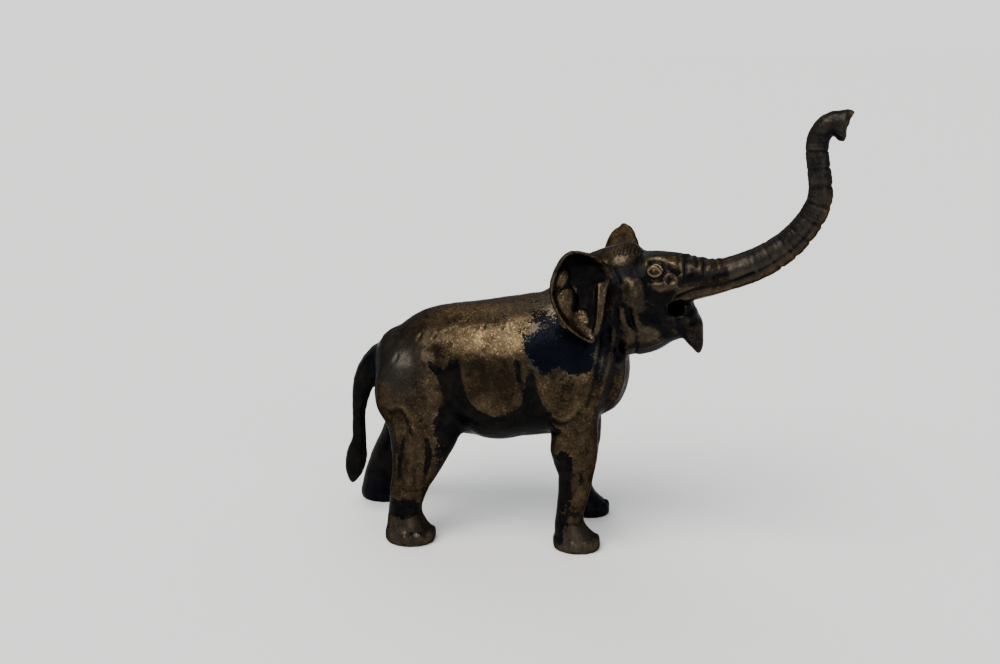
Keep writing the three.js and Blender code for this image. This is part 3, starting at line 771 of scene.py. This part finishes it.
# %% Head, ears and trunk
everywhere("soft", 1.0, np.maximum(head_zone, ear_zone))
everywhere("wear_and_painted_light", 0.16, head_zone * (1 - trunk_zone))
everywhere("blue_grey_and_painted_light", 0.28, head_zone * (1 - trunk_zone))
no_ear = 1 - ear_zone
everywhere("wear_and_painted_light", 0.58, ramp(head_xs, 6, 9) * ramp(zs, 95, 98) * ramp(head_xs, 23, 19) * no_ear)
everywhere("polish_and_painted_light", 0.40, ramp(head_xs, 9, 12) * ramp(zs, 96, 99) * ramp(head_xs, 24, 21) * no_ear)
everywhere("wear_and_painted_light", 0.36, head_zone * ramp(zs, 88, 96) * ramp(head_xs, 18, 24) * no_ear * (1 - trunk_zone))
HEAD_PATCHES = [  # worn, gold, outline
    (0.74, 0.42, [(22.4, 98.0), (25, 98.6), (29, 99.8), (33, 100), (35.4, 99), (35.2, 97.2), (32, 95.8),
                  (29.2, 97), (26.5, 97.6)]),
    (0.62, 0.30, [(24.6, 92.2), (28, 92.4), (30.6, 94), (34.2, 93.8), (34.6, 91), (32.4, 89.4), (29.6, 88.6),
                  (27, 90)]),
    (0.74, 0.22, [(17.0, 91.2), (18.4, 92.8), (21.6, 92.4), (24.2, 89.2), (24.9, 85), (24.6, 82.4), (22, 81),
                  (20, 83), (18.2, 86)]),
    (0.74, 0.20, [(20.9, 81.4), (22.6, 81), (23.6, 77.8), (28.8, 75.8), (28.4, 73), (26.6, 71.6), (24, 70.4),
                  (19.6, 70.2), (16.6, 72.6), (16.6, 80.4), (18.2, 81), (18.8, 77), (21.6, 75.4), (21.2, 78)]),
    (0.72, 0.30, [(30.8, 82.2), (33.8, 87.2), (36, 90.4), (38.8, 92), (42.2, 91.2), (46, 90.8), (53, 92.2),
                  (50, 89.6), (44, 88.2), (40, 86.8), (36, 84.6)]),
    (0.50, 0.20, [(36, 98), (42, 97.6), (50.2, 99.4), (50.4, 97.0), (45, 96.2), (39, 96.4)]),
    (0.38, 0.04, [(50.2, 101), (50.6, 90), (60, 92), (84, 112), (90, 150), (66, 150), (66, 112)]),
]
for wear_and_painted_light, polish_and_painted_light, outline in HEAD_PATCHES:
    patch("wear_and_painted_light", wear_and_painted_light, outline, 1.1, SIDES, on_head=True)
    patch("polish_and_painted_light", polish_and_painted_light, outline, 0.9, SIDES, on_head=True)
lip_rim = np.exp(-((offset - 4.0) / 1.5) ** 2) * on_trunk * ramp(place, 14, 20) * ramp(place, 66, 54)
everywhere("wear_and_painted_light", 0.80, lip_rim)
everywhere("polish_and_painted_light", 0.32, lip_rim)
everywhere("blue_grey_and_painted_light", 0.70, on_trunk * ramp(place, 17, 19) * (1 - lip_rim))
everywhere("wear_and_painted_light", 0.30, on_trunk * ramp(place, 26, 60) * (1 - 0.5 * lip_rim))
trunk_side = on_trunk * ramp(place, 2, 6) * ramp(place, 19.5, 18) * ramp(-offset, 3.2, 2.2) * ramp(offset, 2.2, 1.2)
everywhere("wear_and_painted_light", 0.14, trunk_side)
eye_zone = ramp(np.linalg.norm((head_flat - EYE) / (3.6, 2.9), axis=1), 1.1, 0.9) * (1 - trunk_zone)
everywhere("wear_and_painted_light", 0.30, eye_zone)
everywhere("polish_and_painted_light", 0.15, eye_zone)
lids = np.exp(-(distance_to(head_flat, np.array(almond(EYE, EYE_HALF, -0.05))) / 0.42) ** 2) * eye_zone
everywhere("wear_and_painted_light", 0.95, lids)
everywhere("polish_and_painted_light", 1.6, lids)
everywhere("blue_grey_and_painted_light", 0.35, lids)
everywhere("wear_and_painted_light", 0.26, on_trunk * ramp(place, 60, 66))
# Painted highlight: the tip of the upper finger is painted at full brightness, over bronze rubbed bare there.
tip_rub_and_painted_highlight = ramp(np.linalg.norm(head - (83.2, 0, 145.2), axis=1), 1.8, 0.8)
everywhere("polish_and_painted_light", 1.0, tip_rub_and_painted_highlight)
everywhere("wear_and_painted_light", 1.0, tip_rub_and_painted_highlight)

inside_ear = ear_zone * ramp(head_normals[:, 0], -0.35, 0.1)
everywhere("wear_and_painted_light", 0.10, inside_ear)
everywhere("blue_grey_and_painted_light", 0.15, inside_ear)
EAR_REAR_TOP = [(-1.5, 97), (1, 95.6), (2.2, 95.6), (2.2, 93.2), (0.9, 90.4), (-0.8, 89.4), (-2, 90)]
EAR_REAR_LOW = [(-1.2, 88.8), (2.4, 90), (3.9, 89.2), (3.7, 86.4), (3.2, 84), (4.0, 81.6), (5.6, 79.4), (7.6, 78.2),
                (9.4, 76.6), (11, 75.8), (10.6, 72), (6, 73), (0, 78), (-3, 84)]
EAR_STRIP = [(9.8, 90), (12, 91.8), (13.6, 91.8), (12.9, 88), (12.8, 80), (12.0, 76), (10.9, 75.4), (10.9, 79),
             (10.8, 85.5)]
EAR_BEADS = [(4.2, 82.3), (6.6, 82.6), (8.0, 80.8), (8.6, 78.6), (6.4, 79.2), (4.8, 80.6)]
# The rear patches of the ear's hollow are rubbed bronze, painted brighter as painted light falling into the hollow.
for outline, polish_and_painted_light in ((EAR_REAR_TOP, 0.50), (EAR_REAR_LOW, 0.50), (EAR_STRIP, 0.40), (EAR_BEADS, 0.70)):
    cover = ramp(depth_inside(head_flat, outline), -0.5, 0.5) * ear_zone
    everywhere("wear_and_painted_light", 0.86, cover)
    everywhere("polish_and_painted_light", polish_and_painted_light, cover)
rims = np.zeros(count)
for edge_line, width in ((EAR_TOP, 1.1), (EAR_BACK, 0.5)):
    for rim in both_ears(rounded(edge_line)):
        rims = np.maximum(rims, np.exp(-(distance_to(head, rim) / width) ** 2))
everywhere("wear_and_painted_light", 0.80, rims)
everywhere("polish_and_painted_light", 0.34, rims)
far_ear = ear_zone * ramp(head_ys, 10, 14)
everywhere("wear_and_painted_light", 0.72, far_ear * ramp(zs, 92, 98))
everywhere("polish_and_painted_light", 0.46, far_ear * ramp(zs, 94, 100))
mouth = ramp(np.linalg.norm((head - (35.4, -2, 82.0)) / (5.6, 6.5, 3.8), axis=1), 1.15, 0.85)
nostril = ramp(np.linalg.norm((head - (82.6, 0, 140.8)) / (3.2, 2.2, 2.8), axis=1), 1.15, 0.85)
everywhere("wear_and_painted_light", 0.0, np.maximum(mouth, nostril))
print("head painted")

# %% Onto the mesh
mesh.vertices.foreach_set("co", (points * MM).astype(np.float32).ravel())
for name, values in {**paint, "proud": proud}.items():
    layer = mesh.attributes.new(name, "FLOAT", "POINT")
    layer.data.foreach_set("value", np.asarray(values, np.float32))
mesh.shade_smooth()
mesh.update()
FACE_LIMIT = 180_000
triangles = sum(len(f.vertices) - 2 for f in mesh.polygons)
thin = bronze.modifiers.new("thin", "DECIMATE")
thin.ratio = min(1.0, FACE_LIMIT / triangles)
bpy.ops.object.modifier_apply(modifier="thin")
mesh = bronze.data
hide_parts("elephant")
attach(bronze, "root")
print("bronze:", triangles, "triangles thinned to", len(mesh.polygons), "faces")

# %% [markdown]
# ## Bronze under patina
# Two layers meet at a ragged edge. The black is a thin mineral skin, nearly without colour and half dull; the
# brown is bare metal that has gone warm and a little grey. The painted attribute says roughly where each lies,
# and noise of three sizes frays the edge and sprinkles flecks. The group below returns masks only, so any other
# bronze could use it with its own colours.

# %% Wear group
def new_group(name, inputs, outputs):
    group = bpy.data.node_groups.new(name, "ShaderNodeTree")
    for label, kind, default in inputs:
        socket = group.interface.new_socket(label, in_out="INPUT", socket_type=kind)
        if default is not None:
            socket.default_value = default
    for label, kind in outputs:
        group.interface.new_socket(label, in_out="OUTPUT", socket_type=kind)
    return group, group.nodes.new("NodeGroupInput"), group.nodes.new("NodeGroupOutput")


def plug(tree, value, socket):
    """Links an output to a socket, or sets the socket's own number or colour."""
    if isinstance(value, bpy.types.NodeSocket):
        tree.links.new(value, socket)
    else:
        socket.default_value = value


def maths(tree, operation, *values):
    node = tree.nodes.new("ShaderNodeMath")
    node.operation = operation
    for value, socket in zip(values, node.inputs):
        plug(tree, value, socket)
    return node.outputs[0]


def add_scaled(tree, value, source, gain):
    return maths(tree, "ADD", value, maths(tree, "MULTIPLY", source, gain))


def window(tree, value, low, high):
    """0 below low, 1 above high, and a smooth step between."""
    node = tree.nodes.new("ShaderNodeMapRange")
    node.interpolation_type = "SMOOTHSTEP"
    plug(tree, value, node.inputs["Value"])
    plug(tree, low, node.inputs["From Min"])
    plug(tree, high, node.inputs["From Max"])
    return node.outputs["Result"]


def cloud(tree, where, scale, detail, distortion=0.0):
    node = tree.nodes.new("ShaderNodeTexNoise")
    plug(tree, where, node.inputs["Vector"])
    node.inputs["Scale"].default_value = scale
    node.inputs["Detail"].default_value = detail
    node.inputs["Roughness"].default_value = 0.62
    node.inputs["Distortion"].default_value = distortion
    return maths(tree, "SUBTRACT", node.outputs["Fac"], 0.5)


# texture scales, in features per metre
PATCH_SCALE, BLOTCH_SCALE, SPECKLE_SCALE, GRAIN_SCALE, HOLE_SCALE, MOTTLE_SCALE = 170, 480, 1500, 2600, 620, 260
WORN_THROUGH = 0.435  # the level at which the black has gone
HARD_EDGE, HARD_FRAY = 0.045, 1.35  # half width of the layers' edge and its raggedness, where it flakes
SOFT_EDGE, SOFT_FRAY = 0.215, 0.50  # and where it fades

wear, given, gives = new_group(
    "worn_patina",
    [("Vector", "NodeSocketVector", None), ("Wear_and_painted_light", "NodeSocketFloat", 0.5), ("Polish_and_painted_light", "NodeSocketFloat", 0.3),
     ("Proud", "NodeSocketFloat", 0.0), ("Ragged", "NodeSocketFloat", HARD_FRAY), ("Flecks", "NodeSocketFloat", 1.0),
     ("Edge", "NodeSocketFloat", HARD_EDGE)],
    [(label, "NodeSocketFloat") for label in ("Bare", "Bright", "Grain", "Pits")])
where, polish_and_painted_light, stands_proud = given.outputs["Vector"], given.outputs["Polish_and_painted_light"], given.outputs["Proud"]
patchy = cloud(wear, where, PATCH_SCALE, 6, 0.6)
speckle = cloud(wear, where, SPECKLE_SCALE, 3)
frayed = maths(wear, "MULTIPLY", add_scaled(wear, patchy, speckle, 0.8), given.outputs["Ragged"])
level = add_scaled(wear, maths(wear, "ADD", given.outputs["Wear_and_painted_light"], frayed), stands_proud, 0.24)
edge_low = maths(wear, "SUBTRACT", WORN_THROUGH, given.outputs["Edge"])
edge_high = maths(wear, "ADD", WORN_THROUGH, given.outputs["Edge"])
plug(wear, window(wear, level, edge_low, edge_high), gives.inputs["Bare"])

glints = maths(wear, "MULTIPLY", window(wear, speckle, 0.02, 0.16), given.outputs["Flecks"])
sparks = maths(wear, "MULTIPLY", maths(wear, "SUBTRACT", glints, 0.35),
               maths(wear, "MULTIPLY_ADD", polish_and_painted_light, 0.95, 0.05))
bright = add_scaled(wear, polish_and_painted_light, patchy, 0.8)
bright = add_scaled(wear, bright, cloud(wear, where, BLOTCH_SCALE, 4, 0.4), 0.6)
bright = maths(wear, "ADD", bright, sparks)
bright = add_scaled(wear, bright, stands_proud, 0.16)
plug(wear, window(wear, bright, 0.0, 1.05), gives.inputs["Bright"])

plug(wear, cloud(wear, where, GRAIN_SCALE, 2), gives.inputs["Grain"])
hole = wear.nodes.new("ShaderNodeTexVoronoi")
plug(wear, where, hole.inputs["Vector"])
hole.inputs["Scale"].default_value = HOLE_SCALE
plug(wear, window(wear, hole.outputs["Distance"], 0.30, 0.10), gives.inputs["Pits"])
print("wear group:", len(wear.nodes), "nodes")

# %% [markdown]
# The material places the group, mixes the colours and sets the gloss. Bare bronze is metallic, so its colour is
# the colour of its reflections; the black skin is only partly so. Constants such as the specular tint, which
# keeps the edges of this dark metal from mirroring the pale room, are set on the shader itself.

# %% Bronze material
BLACK, BLACK_BROWN = (0.0026, 0.0026, 0.0030, 1), (0.0075, 0.0064, 0.0056, 1)
BLUE_BLACK, GREY = (0.0024, 0.0032, 0.0062, 1), (0.036, 0.034, 0.030, 1)
UMBER, BROWN, OLIVE = (0.012, 0.0088, 0.0058, 1), (0.026, 0.0178, 0.0098, 1), (0.040, 0.030, 0.0175, 1)
GOLD, PALE_GOLD = (0.084, 0.054, 0.026, 1), (0.135, 0.093, 0.050, 1)
SHINE_STOPS = [(0.0, UMBER), (0.10, BROWN), (0.30, OLIVE), (0.68, GOLD), (1.0, PALE_GOLD)]
SKIN_METAL, BARE_METAL = 0.72, 0.90  # how metallic the black skin and the bare bronze are
ROUGHNESS, SPECULAR, SPECULAR_TINT = 0.35, 0.18, (0.30, 0.27, 0.25, 1)
BUMP_STRENGTH, BUMP_DEPTH = 0.55, 0.00012  # depth in metres

patina = bpy.data.materials.new("patinated_bronze")
patina.use_nodes = True
tree = patina.node_tree
shader = tree.nodes["Principled BSDF"]


def read(name):
    node = tree.nodes.new("ShaderNodeAttribute")
    node.attribute_name = name
    return node.outputs["Fac"]


def mix(amount, first, second):
    node = tree.nodes.new("ShaderNodeMix")
    node.data_type = "RGBA"
    plug(tree, amount, node.inputs["Factor"])
    plug(tree, first, node.inputs["A"])
    plug(tree, second, node.inputs["B"])
    return node.outputs["Result"]


def colour_ramp(value, stops):
    node = tree.nodes.new("ShaderNodeValToRGB")
    plug(tree, value, node.inputs["Fac"])
    elements = node.color_ramp.elements
    elements[0].position, elements[0].color = stops[0]
    elements[1].position, elements[1].color = stops[-1]
    for position, colour in stops[1:-1]:
        elements.new(position).color = colour
    return node.outputs["Color"]


place_of = tree.nodes.new("ShaderNodeTexCoord").outputs["Object"]
worn_group = tree.nodes.new("ShaderNodeGroup")
worn_group.node_tree = wear
for label, value in (("Vector", place_of), ("Wear_and_painted_light", read("wear_and_painted_light")), ("Polish_and_painted_light", read("polish_and_painted_light")), ("Proud", read("proud"))):
    plug(tree, value, worn_group.inputs[label])
for label, hard, soft in (("Ragged", HARD_FRAY, SOFT_FRAY), ("Edge", HARD_EDGE, SOFT_EDGE)):
    plug(tree, maths(tree, "MULTIPLY_ADD", read("soft"), soft - hard, hard), worn_group.inputs[label])
bare, shine = worn_group.outputs["Bare"], worn_group.outputs["Bright"]

mottle = cloud(tree, place_of, MOTTLE_SCALE, 4)
black = mix(window(tree, mottle, -0.12, 0.2), BLACK, BLACK_BROWN)
black = mix(read("blue_grey_and_painted_light"), black, BLUE_BLACK)
brown = colour_ramp(shine, SHINE_STOPS)
brown = mix(maths(tree, "MULTIPLY", read("blue_grey_and_painted_light"), 0.7), brown, GREY)
sooty = window(tree, read("proud"), -0.15, -0.75)
colour = mix(bare, black, mix(maths(tree, "MULTIPLY", sooty, 0.8), brown, BLACK_BROWN))
plug(tree, colour, shader.inputs["Base Color"])
plug(tree, add_scaled(tree, SKIN_METAL, bare, BARE_METAL - SKIN_METAL), shader.inputs["Metallic"])
dullness = add_scaled(tree, add_scaled(tree, ROUGHNESS, mottle, 0.35), shine, -0.05)
plug(tree, dullness, shader.inputs["Roughness"])
shader.inputs["Specular IOR Level"].default_value = SPECULAR
shader.inputs["Specular Tint"].default_value = SPECULAR_TINT

height = maths(tree, "MULTIPLY", worn_group.outputs["Grain"], 0.5)
height = add_scaled(tree, height, worn_group.outputs["Pits"], -0.7)
height = add_scaled(tree, height, bare, -0.35)
bump = tree.nodes.new("ShaderNodeBump")
bump.inputs["Strength"].default_value = BUMP_STRENGTH
bump.inputs["Distance"].default_value = BUMP_DEPTH
plug(tree, height, bump.inputs["Height"])
plug(tree, bump.outputs["Normal"], shader.inputs["Normal"])
mesh.materials.clear()
mesh.materials.append(patina)
print("bronze material:", len(tree.nodes), "nodes")
